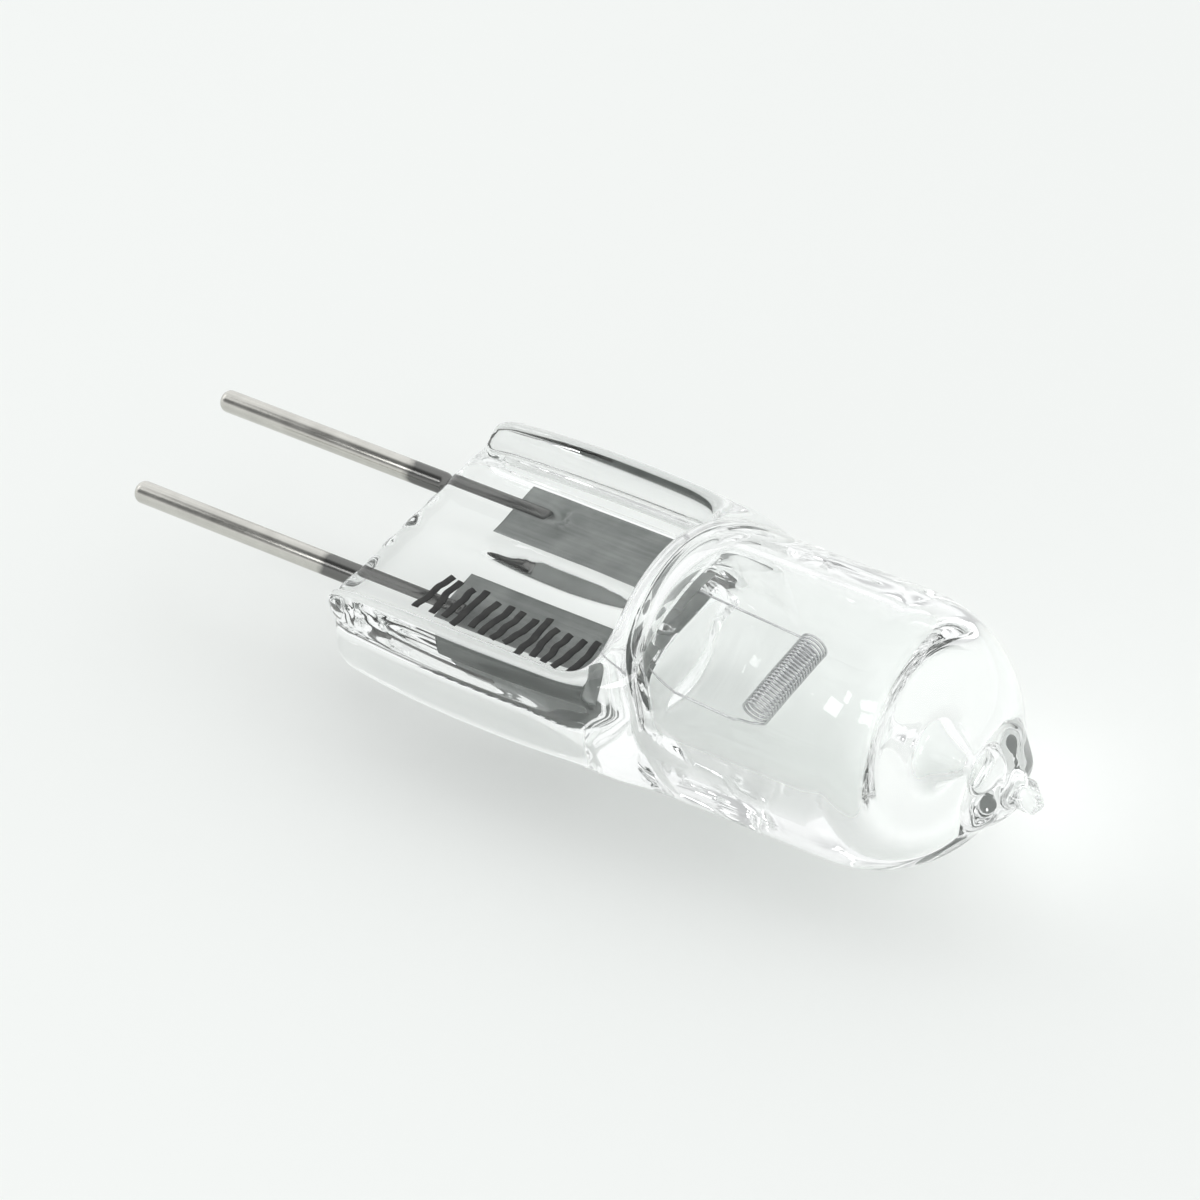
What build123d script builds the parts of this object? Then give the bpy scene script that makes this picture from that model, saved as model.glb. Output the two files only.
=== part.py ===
from build123d import *
import os
from math import cos, pi, sin

# Halogen capsule lamp for a microwave oven, lying on its side as it comes to rest.
# The lamp is drawn along its own axes and laid down at the end:
# X runs from the pins to the sealed tip, Y runs across the two pins, Z through the flat pinch.
# All sizes are in millimetres.

# Contact pins and the thinner leads that carry on into the glass
pin_pitch = 6.35
pin_diameter = 1.0
pin_reach = 12.1
pin_tip_round = 0.35
pin_neck_length = 0.35
lead_diameter = 0.62
lead_end_x = 5.2

# Bulb blown from quartz tube
bulb_diameter = 11.9
wall = 1.45
shoulder_x = 13.1
shoulder_round = 1.8
dome_x = 23.85
cavity_back_x = 13.9
cavity_back_chamfer = 1.3
cavity_end_x = 25.8
cavity_end_chamfer = 0.95
cavity_rise = 0.65

# Sealed exhaust tube on the dome, a little off the lamp's axis
nub_radius = 2.0
nub_end_x = 30.4
nub_end_round = 0.95
nub_drop = 0.45
channel_mouth_x = 25.3
channel_mouth_radius = 1.35
channel_throat_x = 26.8
channel_throat_radius = 0.6
channel_end_x = 29.0
channel_end_radius = 0.48
channel_drop = 0.225
chip_root_radius = 0.8
chip_tip_radius = 0.53
chip_start_x = 29.6
chip_end_x = 32.2
chip_shift_y = -0.2
chip_rise = 0.1
chip_lean = 6.0
chip_break_angle = 38.0
chip_break_depth = 0.35

# Flat pinch, pressed with a thick rib along each edge and a pocket on each face
pinch_offset = 0.6
pinch_half_width = 6.6
pinch_end_half_width = 6.1
pinch_half_thickness = 2.8
pinch_sag = 0.2
pinch_near_nose_x = -0.6
pinch_far_nose_x = 0.2
pinch_root_x = 16.3
pinch_corner = 1.4
pinch_root_corner = 1.9
pinch_nose_round = 1.3
pinch_edge_round = 0.48
pocket_half_width = 5.45
pocket_end_x = 13.6
pocket_corner = 2.1
pocket_draft = 7.0
web_half_thickness = 1.05
centre_ridge_half_width = 1.15
centre_ridge_height = 0.3
centre_ridge_end_x = 14.1
side_groove_depth = 0.3
side_groove_half_height = 1.35
side_groove_end_x = 11.6
dimple_radius = 1.1
dimple_floor_x = 0.15
cut_overrun = 2.0

# Foils that carry the current through the press seal
foil_centre_y = 2.8
foil_width = 3.2
foil_length = 8.8
foil_thickness = 0.08
near_foil_start_x = 4.3
far_foil_start_x = 3.7

# Filament, one wire wound into a coil across the bulb
wire_side = 0.09
coil_outer_diameter = 1.34
coil_length = 4.7
coil_turns = 24
runs_per_turn = 8
coil_x = 19.15
coil_y = 0.2
coil_z = 0.05
leg_spread = 2.7
leg_start_x = 11.9

# Pose at rest, turned about its own axis until it leans as it lies
roll_at_rest = 12.5

bulb_radius = bulb_diameter / 2
bore_radius = bulb_radius - wall


def turned(points, rounding=0.0):
    """Solid turned about X from (x, radius) points, with its last corner before the axis rounded."""
    outline = make_face(Polyline(*points, close=True))
    if rounding:
        corner = outline.vertices().sort_by_distance(Vector(*points[-2]))[0]
        outline = fillet(corner, rounding)
    return revolve(outline, Axis.X)


def make_chip():
    """Broken stub of the exhaust tube left standing on the nub, sheared off at a slant."""
    length = chip_end_x - chip_start_x
    stub = Cone(chip_root_radius, chip_tip_radius, length, rotation=(0, 90, 0))
    slant = Plane((length / 2 - chip_break_depth, 0, 0), z_dir=(1, 0, 0)).rotated((0, chip_break_angle, 0))
    stub -= extrude(slant * Rectangle(2 * length, 2 * length), length)
    middle_x = (chip_start_x + chip_end_x) / 2
    return Pos(middle_x, chip_shift_y, chip_rise) * Rot(0, chip_lean, -chip_lean) * stub


def make_bulb():
    """Outer form of the blown quartz bulb with its sealed exhaust tube and the chip left on it."""
    barrel = turned([
        (dome_x, 0),
        (dome_x, bulb_radius),
        (shoulder_x, bulb_radius),
        (shoulder_x, 0),
    ], shoulder_round)
    dome = Pos(dome_x, 0, 0) * Sphere(bulb_radius)
    nub = turned([(dome_x, 0), (dome_x, nub_radius), (nub_end_x, nub_radius), (nub_end_x, 0)], nub_end_round)
    return barrel + dome + Pos(0, 0, -nub_drop) * (nub + make_chip())


def make_cavity():
    """Gas space inside the bulb, with the closed channel of the exhaust tube running into the nub."""
    drum = turned([
        (cavity_end_x, 0),
        (cavity_end_x, bore_radius - cavity_end_chamfer),
        (cavity_end_x - cavity_end_chamfer, bore_radius),
        (cavity_back_x + cavity_back_chamfer, bore_radius),
        (cavity_back_x, bore_radius - cavity_back_chamfer),
        (cavity_back_x, 0),
    ])
    channel = turned([
        (channel_mouth_x, 0),
        (channel_mouth_x, channel_mouth_radius),
        (channel_throat_x, channel_throat_radius),
        (channel_end_x, channel_end_radius),
        (channel_end_x, 0),
    ])
    return Pos(0, 0, cavity_rise) * drum + Pos(0, 0, -channel_drop) * channel


def make_pinch_slab():
    """Flat block pressed from the end of the tube, before its pockets are cut."""
    near_nose = (pinch_near_nose_x, -pinch_end_half_width)
    far_nose = (pinch_far_nose_x, pinch_end_half_width)
    near_root = (pinch_root_x, -bulb_radius)
    far_root = (pinch_root_x, bulb_radius)
    mid_x = pinch_root_x / 2
    plan = make_face([
        Line(near_nose, far_nose),
        ThreePointArc(far_nose, (mid_x, pinch_half_width), far_root),
        Line(far_root, near_root),
        ThreePointArc(near_root, (mid_x, -pinch_half_width), near_nose),
    ])
    plan = fillet(plan.vertices().sort_by(Axis.X)[:2], pinch_corner)
    plan = fillet(plan.vertices().sort_by(Axis.X)[-2:], pinch_root_corner)
    slab = extrude(plan, pinch_half_thickness, both=True)
    slab = fillet(slab.faces().filter_by(Axis.Z).edges(), pinch_edge_round)
    profile = Rectangle(
        2 * bulb_diameter, 2 * pinch_half_thickness, align=(Align.MIN, Align.CENTER)
    )
    profile = fillet(profile.vertices().group_by(Axis.X)[0], pinch_nose_round)
    nose = extrude(Plane.XZ * Pos(pinch_near_nose_x, 0) * profile, bulb_diameter, both=True)
    return Pos(0, 0, -pinch_sag) * (slab & nose)


def make_pocket():
    """Recess in the upper face, open towards the pins and round-cornered towards the bulb."""
    start_x = pinch_near_nose_x - cut_overrun
    plan = Pos(start_x, 0) * Rectangle(
        pocket_end_x - start_x, 2 * pocket_half_width, align=(Align.MIN, Align.CENTER)
    )
    plan = fillet(plan.vertices().group_by(Axis.X)[-1], pocket_corner)
    return extrude(Pos(0, 0, web_half_thickness) * plan, bulb_radius, taper=-pocket_draft)


def make_centre_ridge():
    """Low rounded ridge that stands between the two foils on the upper face of the web."""
    rise = centre_ridge_height
    crown = (centre_ridge_half_width**2 + rise**2) / (2 * rise)
    section = Pos(0, web_half_thickness + rise - crown) * Circle(crown)
    section &= Pos(0, web_half_thickness) * Rectangle(
        2 * centre_ridge_half_width, 2 * rise, align=(Align.CENTER, Align.CENTER)
    )
    start_x = pinch_far_nose_x + pinch_edge_round
    length = centre_ridge_end_x - start_x
    return extrude(Plane.YZ.offset(start_x) * section, length)


def make_side_groove():
    """Shallow groove along one edge of the pinch, which leaves a bead above and below it."""
    half = side_groove_half_height
    sweep_radius = (half**2 + side_groove_depth**2) / (2 * side_groove_depth)
    start_x = pinch_near_nose_x - cut_overrun
    tube = Pos(start_x, 0, 0) * Cylinder(
        sweep_radius,
        side_groove_end_x - start_x,
        rotation=(0, 90, 0),
        align=(Align.CENTER, Align.CENTER, Align.MIN),
    )
    groove = tube + Pos(side_groove_end_x, 0, 0) * Sphere(sweep_radius)
    return Pos(0, pinch_half_width - side_groove_depth + sweep_radius, 0) * groove


def make_dimple():
    """Tapered hollow in the end of the pinch where a pin enters the glass."""
    return turned([
        (pinch_near_nose_x - cut_overrun, 0),
        (pinch_near_nose_x - cut_overrun, dimple_radius),
        (pinch_near_nose_x, dimple_radius),
        (dimple_floor_x, pin_diameter / 2),
        (dimple_floor_x, 0),
    ])


def make_envelope(sealed_pieces):
    """Quartz envelope in one piece, cut out round everything that is sealed into it."""
    pinch = Pos(0, 0, pinch_offset)
    pocket = make_pocket()
    glass = make_bulb() + pinch * make_pinch_slab()
    glass -= pinch * pocket
    glass -= pinch * mirror(pocket, Plane.XY)
    ridge = make_centre_ridge()
    glass += pinch * ridge
    glass += pinch * mirror(ridge, Plane.XY)
    groove = make_side_groove()
    glass -= pinch * groove
    glass -= pinch * mirror(groove, Plane.XZ)
    for side in (-1, 1):
        glass -= pinch * Pos(0, side * pin_pitch / 2, 0) * make_dimple()
    glass -= make_cavity()
    for piece in sealed_pieces:
        glass -= piece
    return glass


def make_pin(side):
    """Contact pin with a rounded tip, necked down at the glass to the lead that meets the foil."""
    radius = pin_diameter / 2
    lead_radius = lead_diameter / 2
    shank = turned([
        (lead_end_x, 0),
        (lead_end_x, lead_radius),
        (0, lead_radius),
        (-pin_neck_length, radius),
        (-pin_reach, radius),
        (-pin_reach, 0),
    ], pin_tip_round)
    return Pos(0, side * pin_pitch / 2, pinch_offset) * shank


def make_foil(side, start_x, neighbours):
    """Thin foil in the press seal, slit where the lead and the filament leg lie on it."""
    foil = Pos(start_x, side * foil_centre_y, pinch_offset) * Box(
        foil_length, foil_width, foil_thickness, align=(Align.MIN, Align.CENTER, Align.CENTER)
    )
    for piece in neighbours:
        foil -= piece
    return foil


def wire_along(points):
    """Square wire that follows the straight runs between the given points."""
    path = Polyline(*points)
    section = Plane(path @ 0, z_dir=path % 0) * Rectangle(wire_side, wire_side)
    return sweep(section, path, transition=Transition.RIGHT)


def make_filament():
    """Tungsten wire wound into a coil across the bulb, with a straight leg back to each foil."""
    coil_radius = (coil_outer_diameter - wire_side) / 2
    runs = coil_turns * runs_per_turn
    points = [(leg_start_x, -leg_spread, pinch_offset), (coil_x - coil_radius, -leg_spread, coil_z)]
    for run in range(runs + 1):
        angle = 2 * pi * run / runs_per_turn
        points.append((
            coil_x - coil_radius * sin(angle),
            coil_y + coil_length * (run / runs - 0.5),
            coil_z - coil_radius * cos(angle),
        ))
    points.append((coil_x - coil_radius, leg_spread, coil_z + coil_radius / 2))
    points.append((leg_start_x, leg_spread, pinch_offset))
    return wire_along(points)


pins = {"near": make_pin(-1), "far": make_pin(1)}
filament = make_filament()
foils = {
    "near": make_foil(-1, near_foil_start_x, [pins["near"], filament]),
    "far": make_foil(1, far_foil_start_x, [pins["far"], filament]),
}
envelope = make_envelope([pins["near"], pins["far"], filament, foils["near"], foils["far"]])

# Node names, in the order in which the lamp is put together
lamp = {
    "quartz_envelope": envelope,
    "near_contact_pin": pins["near"],
    "far_contact_pin": pins["far"],
    "near_seal_foil": foils["near"],
    "far_seal_foil": foils["far"],
    "tungsten_filament": filament,
}

# Laid down on the bulb's barrel, with the origin on the floor under the middle of the lamp
laid = {name: Rot(roll_at_rest, 0, 0) * piece for name, piece in lamp.items()}
box = Compound(list(laid.values())).bounding_box()
to_origin = Pos(-(box.min.X + box.max.X) / 2, -(box.min.Y + box.max.Y) / 2, -box.min.Z)

os.makedirs("parts", exist_ok=True)
for name, piece in laid.items():
    export_step(to_origin * piece, f"parts/{name}.step")
    print(name, "volume", round(piece.volume, 3))
print("box", box.min, box.max)
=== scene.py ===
import logging
import math
from dataclasses import dataclass
from enum import Enum
from typing import Callable, Optional, Sequence, Union

import bpy
import numpy as np
from mathutils import Matrix, Vector


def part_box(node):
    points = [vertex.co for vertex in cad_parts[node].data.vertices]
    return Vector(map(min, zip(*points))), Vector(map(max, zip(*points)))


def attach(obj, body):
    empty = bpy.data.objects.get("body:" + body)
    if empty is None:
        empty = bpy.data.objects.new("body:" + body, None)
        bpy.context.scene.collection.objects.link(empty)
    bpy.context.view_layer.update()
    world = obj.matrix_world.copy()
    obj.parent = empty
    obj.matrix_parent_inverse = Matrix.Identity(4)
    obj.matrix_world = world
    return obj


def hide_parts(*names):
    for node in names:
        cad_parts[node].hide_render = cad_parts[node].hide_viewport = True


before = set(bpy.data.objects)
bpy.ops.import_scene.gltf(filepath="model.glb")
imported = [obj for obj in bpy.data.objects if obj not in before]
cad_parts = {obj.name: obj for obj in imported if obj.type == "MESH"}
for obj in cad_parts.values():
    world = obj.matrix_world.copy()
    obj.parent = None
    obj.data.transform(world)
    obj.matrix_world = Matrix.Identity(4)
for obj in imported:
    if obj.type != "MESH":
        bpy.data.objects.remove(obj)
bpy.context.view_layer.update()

MM = 0.001
LOG = logging.getLogger("microwave_bulb")


class Slot(str, Enum):
    """The record's material slots."""

    QUARTZ = "quartz"
    PIN_METAL = "pin_metal"
    SEAL_FOIL = "seal_foil"
    FILAMENT_WIRE = "filament_wire"


Array = np.ndarray
Object = bpy.types.Object
Material = bpy.types.Material
Value = Union["Wire", float]


# Node tools


@dataclass
class Wire:
    """One output socket of a node, with the arithmetic that a tree needs as operators."""

    tree: bpy.types.NodeTree
    socket: bpy.types.NodeSocket

    def _math(self, operation: str, other: Value, swapped: bool = False) -> "Wire":
        """Math node on this wire and another value, which comes first if swapped."""
        node = self.tree.nodes.new("ShaderNodeMath")
        node.operation = operation
        for index, value in enumerate((other, self) if swapped else (self, other)):
            if isinstance(value, Wire):
                self.tree.links.new(value.socket, node.inputs[index])
            else:
                node.inputs[index].default_value = value
        return Wire(self.tree, node.outputs[0])

    def __add__(self, other: Value) -> "Wire":
        """Sum."""
        return self._math("ADD", other)

    def __sub__(self, other: Value) -> "Wire":
        """Difference."""
        return self._math("SUBTRACT", other)

    def __mul__(self, other: Value) -> "Wire":
        """Product."""
        return self._math("MULTIPLY", other)

    def __rsub__(self, other: float) -> "Wire":
        """Difference with a plain number first."""
        return self._math("SUBTRACT", other, swapped=True)

    def __truediv__(self, other: Value) -> "Wire":
        """Quotient."""
        return self._math("DIVIDE", other)

    def __pow__(self, other: float) -> "Wire":
        """Power."""
        return self._math("POWER", other)

    __radd__ = __add__
    __rmul__ = __mul__


@dataclass
class Graph:
    """A node tree while it is being written."""

    tree: bpy.types.NodeTree

    def node(
        self,
        kind: str,
        settings: Optional[dict] = None,
        values: Optional[dict] = None,
        output: Union[int, str] = 0,
    ) -> Wire:
        """Add one node of any type.

        Args:
            kind: The node's type.
            settings: The node's own properties, set first. "stops" holds a ramp's stops.
            values: Numbers, colours or wires for its input sockets, by name or index.
            output: Which output to return.

        Returns:
            The chosen output as a wire.
        """
        node = self.tree.nodes.new(kind)
        for key, value in (settings or {}).items():
            if key == "stops":
                ramp = node.color_ramp
                while len(ramp.elements) < len(value):
                    ramp.elements.new(0.5)
                for element, (position, colour) in zip(ramp.elements, value):
                    element.position = position
                    element.color = (*colour, 1.0)
            else:
                setattr(node, key, value)
        for key, value in (values or {}).items():
            for wire in value if isinstance(value, list) else [value]:
                if isinstance(wire, Wire):
                    self.tree.links.new(wire.socket, node.inputs[key])
                else:
                    node.inputs[key].default_value = wire
        return Wire(self.tree, node.outputs[output])

    def ramp(self, factor: Wire, stops: Sequence[tuple]) -> Wire:
        """Colour ramp."""
        return self.node("ShaderNodeValToRGB", {"stops": stops}, {"Fac": factor})

    def mix(self, share: Wire, first: Union[Wire, tuple], second: Union[Wire, tuple]) -> Wire:
        """Two colours mixed, all of the second where the share is 1."""
        values = {"Factor": share, 6: first, 7: second}
        return self.node("ShaderNodeMix", {"data_type": "RGBA"}, values, output=2)


@dataclass
class Shader(Graph):
    """A material's node tree."""

    material: Material

    @classmethod
    def new(cls, name: str) -> "Shader":
        """Start an empty material."""
        material = bpy.data.materials.new(name)
        material.use_nodes = True
        material.node_tree.nodes.clear()
        return cls(material.node_tree, material)

    def place(self, scale: Sequence[float]) -> Wire:
        """Object coordinates, stretched along X, Y and Z."""
        coordinates = self.node("ShaderNodeTexCoord", output="Object")
        values = {"Vector": coordinates, "Scale": tuple(scale)}
        return self.node("ShaderNodeMapping", values=values)

    def noise(self, scale: Sequence[float], detail: float = 2.0, roughness: float = 0.5) -> Wire:
        """Grey noise on Object coordinates.

        Args:
            scale: Waves per metre along X, Y and Z.
            detail: How many finer layers it has.
            roughness: How strong they are.

        Returns:
            The noise, from 0 to 1.
        """
        values = {"Vector": self.place(scale), "Scale": 1.0}
        values |= {"Detail": detail, "Roughness": roughness}
        return self.node("ShaderNodeTexNoise", values=values, output="Fac")

    def bump(self, height: Wire, strength: float, distance: float) -> Wire:
        """Bump node with plain strength and distance."""
        values = {"Height": height, "Strength": strength, "Distance": distance}
        return self.node("ShaderNodeBump", values=values)

    def finish(self, surface: Wire) -> Material:
        """Link the surface to the material's output."""
        output = self.tree.nodes.new("ShaderNodeOutputMaterial")
        self.tree.links.new(surface.socket, output.inputs["Surface"])
        return self.material


@dataclass
class GeometryTree(Graph):
    """A geometry node tree with named inputs, baked to a plain mesh when it is done."""

    sizes: dict

    @classmethod
    def new(cls, name: str, sizes: dict) -> "GeometryTree":
        """Start a tree with a named input for each number, whole number or vector."""
        tree = bpy.data.node_groups.new(name, "GeometryNodeTree")
        tree.interface.new_socket("Geometry", in_out="INPUT", socket_type="NodeSocketGeometry")
        tree.interface.new_socket("Geometry", in_out="OUTPUT", socket_type="NodeSocketGeometry")
        for key, value in sizes.items():
            kinds = {int: "NodeSocketInt", float: "NodeSocketFloat"}
            kind = kinds.get(type(value), "NodeSocketVector")
            tree.interface.new_socket(key, in_out="INPUT", socket_type=kind)
        tree.nodes.new("NodeGroupInput")
        return cls(tree, sizes)

    def input(self, name: str) -> Wire:
        """One of the tree's inputs."""
        return Wire(self.tree, self.tree.nodes["Group Input"].outputs[name])

    def vector(self, x: Value, y: Value, z: Value) -> Wire:
        """Three numbers as a vector."""
        return self.node("ShaderNodeCombineXYZ", values={0: x, 1: y, 2: z})

    def parts(self, vector: Wire) -> list:
        """A vector's three numbers."""
        node = self.node("ShaderNodeSeparateXYZ", values={0: vector}).socket.node
        return [Wire(self.tree, socket) for socket in node.outputs]

    def random(self, low: Value, high: Value, seed: Wire) -> Wire:
        """A random number for each point."""
        values = {2: low, 3: high, "Seed": seed}
        return self.node("FunctionNodeRandomValue", values=values, output=1)

    def noise(self, waves: float, detail: float) -> Wire:
        """Grey noise at each point, from 0 to 1."""
        values = {"Scale": waves, "Detail": detail}
        return self.node("ShaderNodeTexNoise", values=values, output="Fac")

    def move(self, geometry: Wire, shift: Wire, turn: Optional[Wire] = None) -> Wire:
        """Geometry turned, then shifted."""
        values = {"Geometry": geometry, "Translation": shift}
        if turn is not None:
            values["Rotation"] = turn
        return self.node("GeometryNodeTransform", values=values)

    def rod(self, route: Wire, radius: Wire, sides: int) -> Wire:
        """Round rod along a curve, closed at its ends."""
        values = {"Resolution": sides, "Radius": radius}
        profile = self.node("GeometryNodeCurvePrimitiveCircle", values=values)
        values = {"Curve": route, "Profile Curve": profile, "Fill Caps": True}
        return self.node("GeometryNodeCurveToMesh", values=values)

    def bake(
        self, name: str, geometry: Wire, base: Optional[bpy.types.Mesh], material: Material
    ) -> Object:
        """Close the tree, run it and keep the result as a plain mesh.

        Args:
            name: The object's name.
            geometry: The geometry to show.
            base: Mesh that goes into the tree, or None for an empty one.
            material: The result's material.

        Returns:
            The object, with no modifier on it.
        """
        smooth = self.node("GeometryNodeSetShadeSmooth", values={"Geometry": geometry})
        real = self.node("GeometryNodeRealizeInstances", values={"Geometry": smooth})
        values = {"Geometry": real, "Material": material}
        painted = self.node("GeometryNodeSetMaterial", values=values)
        output = self.tree.nodes.new("NodeGroupOutput")
        self.tree.links.new(painted.socket, output.inputs["Geometry"])
        holder = bpy.data.objects.new(name, base or bpy.data.meshes.new(name + "_base"))
        bpy.context.scene.collection.objects.link(holder)
        modifier = holder.modifiers.new(name, "NODES")
        modifier.node_group = self.tree
        for item in self.tree.interface.items_tree:
            if item.in_out == "INPUT" and item.name in self.sizes:
                modifier[item.identifier] = self.sizes[item.name]
        view = bpy.context.evaluated_depsgraph_get()
        mesh = bpy.data.meshes.new_from_object(holder.evaluated_get(view), depsgraph=view)
        holder.modifiers.clear()
        mesh.materials.clear()
        mesh.materials.append(material)
        holder.data = mesh
        return holder


# Finishes, whose noises give waves per metre along X, Y and Z


@dataclass(frozen=True)
class ClearQuartz:
    """Fire-polished quartz glass with faint draw lines along the tube."""

    ior: float = 1.458
    colour: tuple = (0.985, 0.995, 0.99, 1.0)
    draw_lines: tuple = (60.0, 420.0, 420.0)
    ripple: float = 0.04
    ripple_depth: float = 0.0002
    shadow: tuple = (0.96, 0.965, 0.96, 1.0)

    def material(self) -> Material:
        """Write the material."""
        shader = Shader.new("clear_quartz")
        draw_lines = shader.noise(self.draw_lines)
        glass = shader.node("ShaderNodeBsdfPrincipled", values={
            "Base Color": self.colour,
            "Roughness": 0.0,
            "IOR": self.ior,
            "Transmission Weight": 1.0,
            "Normal": shader.bump(draw_lines, self.ripple, self.ripple_depth),
        })
        clear = shader.node("ShaderNodeBsdfTransparent", values={"Color": self.shadow})
        shadow_ray = shader.node("ShaderNodeLightPath", output="Is Shadow Ray")
        values = {0: shadow_ray, 1: glass, 2: clear}
        return shader.finish(shader.node("ShaderNodeMixShader", values=values))


@dataclass(frozen=True)
class DrawnWire:
    """Dull grey drawn metal with fine streaks along its length, optionally with painted shade
    past a point along X.
    """

    name: str
    dark: tuple
    light: tuple
    roughness: float = 0.24
    unevenness: float = 0.12
    streaks: tuple = (200.0, 9000.0, 9000.0)
    streak_bump: float = 0.15
    streak_depth: float = 0.00001
    blotches: tuple = (900.0, 900.0, 900.0)
    # Painted shade: past this point along X the metal takes a darker colour, standing in for the
    # reflection of the shaded floor near the glass.
    reflected_shade_from: Optional[float] = None
    reflected_shade: tuple = (0.17, 0.17, 0.165)
    reflected_shade_rise: float = 2200.0
    reflected_shade_spread: float = 3.0

    def material(self) -> Material:
        """Write the material."""
        shader = Shader.new(self.name)
        streak = shader.noise(self.streaks, 4.0, 0.6)
        blotch = shader.noise(self.blotches, 3.0, 0.55)
        colour = shader.ramp(streak * 0.5 + blotch * 0.5, [(0.3, self.dark), (0.7, self.light)])
        # Painted shade: darker from the given point towards the glass, in place of a reflected
        # shadow, with a ragged edge from the blotch noise.
        if self.reflected_shade_from is not None:
            place = shader.place((1.0, 1.0, 1.0))
            place = shader.node("ShaderNodeSeparateXYZ", values={0: place})
            past = (place - self.reflected_shade_from) * self.reflected_shade_rise
            past = past + (blotch - 0.5) * self.reflected_shade_spread
            share = shader.node("ShaderNodeClamp", values={0: past})
            colour = shader.mix(share, colour, (*self.reflected_shade, 1.0))
        return shader.finish(shader.node("ShaderNodeBsdfPrincipled", values={
            "Base Color": colour,
            "Metallic": 1.0,
            "Roughness": (blotch - 0.5) * self.unevenness + self.roughness,
            "Normal": shader.bump(streak, self.streak_bump, self.streak_depth),
        }))


@dataclass(frozen=True)
class RolledFoil:
    """Thin rolled foil, dark grey and satin, with faint rolling lines."""

    dark: tuple = (0.14, 0.152, 0.146)
    light: tuple = (0.29, 0.305, 0.295)
    metallic: float = 0.6
    roughness: float = 0.34
    unevenness: float = 0.1
    rolling_lines: tuple = (300.0, 6000.0, 6000.0)
    rolling_share: float = 0.35
    clouds: tuple = (700.0, 700.0, 700.0)
    cloud_bump: float = 0.2
    cloud_depth: float = 0.00004

    def material(self) -> Material:
        """Write the material."""
        shader = Shader.new("rolled_foil")
        rolling = shader.noise(self.rolling_lines, 3.0)
        cloud = shader.noise(self.clouds, 3.0)
        tone = rolling * self.rolling_share + cloud * (1.0 - self.rolling_share)
        return shader.finish(shader.node("ShaderNodeBsdfPrincipled", values={
            "Base Color": shader.ramp(tone, [(0.3, self.dark), (0.7, self.light)]),
            "Metallic": self.metallic,
            "Roughness": cloud * self.unevenness + self.roughness,
            "Normal": shader.bump(cloud, self.cloud_bump, self.cloud_depth),
        }))


@dataclass(frozen=True)
class BakedInk:
    """Matt black ink, a little thin in places."""

    dark: tuple = (0.006, 0.006, 0.006)
    light: tuple = (0.03, 0.03, 0.028)
    patches: tuple = (2500.0, 2500.0, 2500.0)
    roughness: float = 0.5
    unevenness: float = 0.2

    def material(self) -> Material:
        """Write the material."""
        shader = Shader.new("baked_ink")
        patch = shader.noise(self.patches, 3.0)
        return shader.finish(shader.node("ShaderNodeBsdfPrincipled", values={
            "Base Color": shader.ramp(patch, [(0.35, self.dark), (0.75, self.light)]),
            "Roughness": patch * self.unevenness + self.roughness,
        }))


# The lamp's own axes


@dataclass(frozen=True)
class LampAxes:
    """The lamp's own axes, in millimetres, and how they lie in the row frame."""

    x_shift: float
    y_shift: float
    z_shift: float
    roll: float

    @classmethod
    def from_frame(cls, pin_reach: float, pin_height: float) -> "LampAxes":
        """Work the pose out from where the two pins lie.

        Args:
            pin_reach: How far the pins' tips lie behind the glass, in millimetres.
            pin_height: Height of the pins over the bulb's axis along the lamp's own Z.

        Returns:
            The axes.
        """
        near_low, near_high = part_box("near_contact_pin")
        far_low, far_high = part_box("far_contact_pin")
        near = (near_low + near_high) / 2 / MM
        far = (far_low + far_high) / 2 / MM
        roll = math.atan2(far.z - near.z, far.y - near.y)
        middle = (near + far) / 2
        return cls(
            x_shift=near_low.x / MM + pin_reach,
            y_shift=middle.y + pin_height * math.sin(roll),
            z_shift=middle.z - pin_height * math.cos(roll),
            roll=roll,
        )

    def to_row(self, points: Array) -> Array:
        """Turn points on the lamp's axes in millimetres into the row frame in metres."""
        points = np.asarray(points, float)
        across, up = points[:, 1], points[:, 2]
        cosine, sine = math.cos(self.roll), math.sin(self.roll)
        return MM * np.stack([
            points[:, 0] + self.x_shift,
            across * cosine - up * sine + self.y_shift,
            across * sine + up * cosine + self.z_shift,
        ], axis=1)

    def turn(self) -> Matrix:
        """How the lamp's axes are turned in the row frame."""
        return Matrix.Rotation(self.roll, 3, "X")

    def origin(self) -> Vector:
        """Where the lamp's origin lies in the row frame, in metres."""
        return Vector((self.x_shift, self.y_shift, self.z_shift)) * MM


def make_object(
    name: str, points: Array, faces: Sequence, material: Material, smooth: bool = True
) -> Object:
    """Make a mesh object at the origin with its place in its mesh.

    Args:
        name: The object's name.
        points: Its points in the row frame, in metres.
        faces: Its faces, as lists of point numbers.
        material: Its material.
        smooth: Whether its faces are shaded smooth.

    Returns:
        The object, linked to the scene.
    """
    mesh = bpy.data.meshes.new(name)
    mesh.from_pydata(points.tolist(), [], [list(map(int, face)) for face in faces])
    mesh.validate()
    if smooth:
        mesh.shade_smooth()
    mesh.materials.append(material)
    made = bpy.data.objects.new(name, mesh)
    bpy.context.scene.collection.objects.link(made)
    return made


# Surfaces from a field


def smooth_max(a: Array, b: Array, blend: float) -> Array:
    """Larger of two fields, rounded over a width in millimetres where they meet."""
    share = np.clip(0.5 + 0.5 * (a - b) / blend, 0.0, 1.0)
    return b * (1 - share) + a * share + blend * share * (1 - share)


def smooth_min(a: Array, b: Array, blend: float) -> Array:
    """Smaller of two fields, filled in where they meet."""
    return -smooth_max(-a, -b, blend)


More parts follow.
